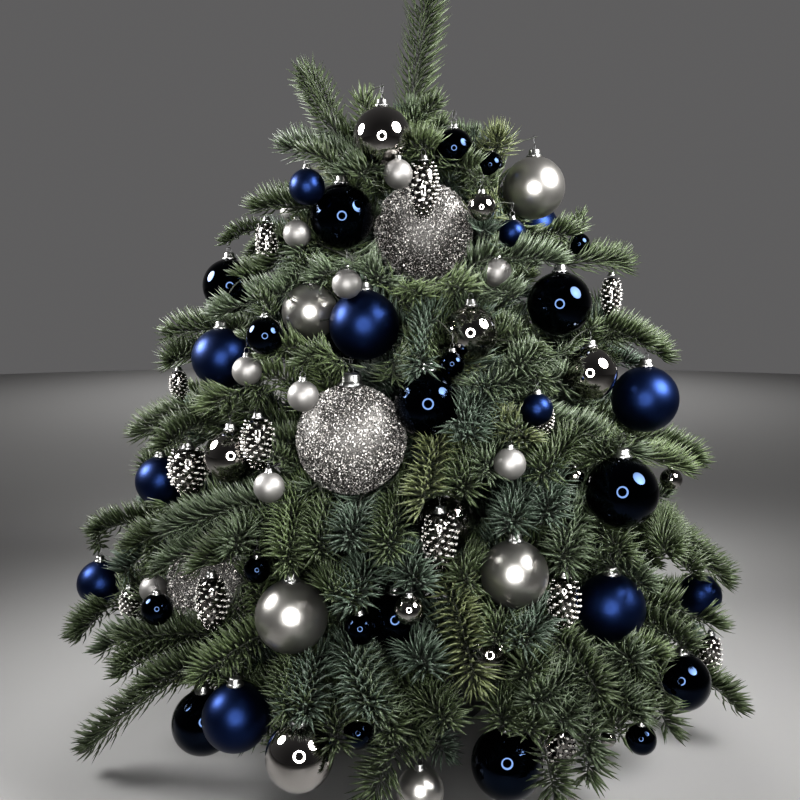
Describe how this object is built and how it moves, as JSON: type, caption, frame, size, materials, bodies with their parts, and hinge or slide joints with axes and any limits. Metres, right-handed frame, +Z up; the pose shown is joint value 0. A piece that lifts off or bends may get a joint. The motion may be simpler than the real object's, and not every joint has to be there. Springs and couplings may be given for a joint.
{
  "type": "tabletop christmas tree",
  "caption": "Small cut noble fir as a tabletop Christmas tree in a plain round stand, full from all sides, hung with blue, silver and mirror balls and glass pine cones.",
  "frame": {"origin": "centre of the stand's flat underside, on the surface that it stands on", "axes": "+Z up along the trunk, -Y towards the tree's front, +X to its right as seen from the front"},
  "size_m": [0.7869, 0.7708, 0.868],
  "materials": {
    "bark": "grey-brown bark, rough, with fine cracks",
    "foliage": "blue-green needles with a waxy sheen",
    "stand": "satin black paint",
    "screws": "zinc plated",
    "navy_glass": "glossy dark blue, like lacquered glass",
    "matte_blue": "satin metallic blue",
    "matte_silver": "satin pearly silver",
    "mirror_silver": "mirror bright, slightly smoky",
    "glitter": "silver glitter flakes",
    "silver_caps": "bright plated caps and wire loops",
    "thread": "thin silver thread"
  },
  "bodies": {
    "root": {"trunk": "bark", "bough_low_1": "bark", "bough_low_2": "bark", "bough_low_3": "bark", "bough_low_4": "bark", "bough_low_5": "bark", "bough_low_6": "bark", "bough_low_7": "bark", "bough_skirting_1": "bark", "bough_skirting_2": "bark", "bough_skirting_3": "bark", "bough_skirting_4": "bark", "bough_skirting_5": "bark", "bough_skirting_6": "bark", "bough_middle_1": "bark", "bough_middle_2": "bark", "bough_middle_3": "bark", "bough_middle_4": "bark", "bough_middle_5": "bark", "bough_shoulder_1": "bark", "bough_shoulder_2": "bark", "bough_shoulder_3": "bark", "bough_shoulder_4": "bark", "foliage_low_1": "foliage", "foliage_low_2": "foliage", "foliage_low_3": "foliage", "foliage_low_4": "foliage", "foliage_low_5": "foliage", "foliage_low_6": "foliage", "foliage_low_7": "foliage", "foliage_skirting_1": "foliage", "foliage_skirting_2": "foliage", "foliage_skirting_3": "foliage", "foliage_skirting_4": "foliage", "foliage_skirting_5": "foliage", "foliage_skirting_6": "foliage", "foliage_middle_1": "foliage", "foliage_middle_2": "foliage", "foliage_middle_3": "foliage", "foliage_middle_4": "foliage", "foliage_middle_5": "foliage", "foliage_shoulder_1": "foliage", "foliage_shoulder_2": "foliage", "foliage_shoulder_3": "foliage", "foliage_shoulder_4": "foliage", "foliage_high_1": "foliage", "foliage_high_2": "foliage", "foliage_high_3": "foliage", "foliage_high_4": "foliage", "foliage_crest_1": "foliage", "foliage_crest_2": "foliage", "foliage_crest_3": "foliage", "foliage_crest_4": "foliage", "foliage_leader": "foliage", "stand_base": "stand", "stand_collar": "stand", "stand_screw_1": "screws", "stand_screw_2": "screws", "stand_screw_3": "screws"}
  },
  "joints": []
}
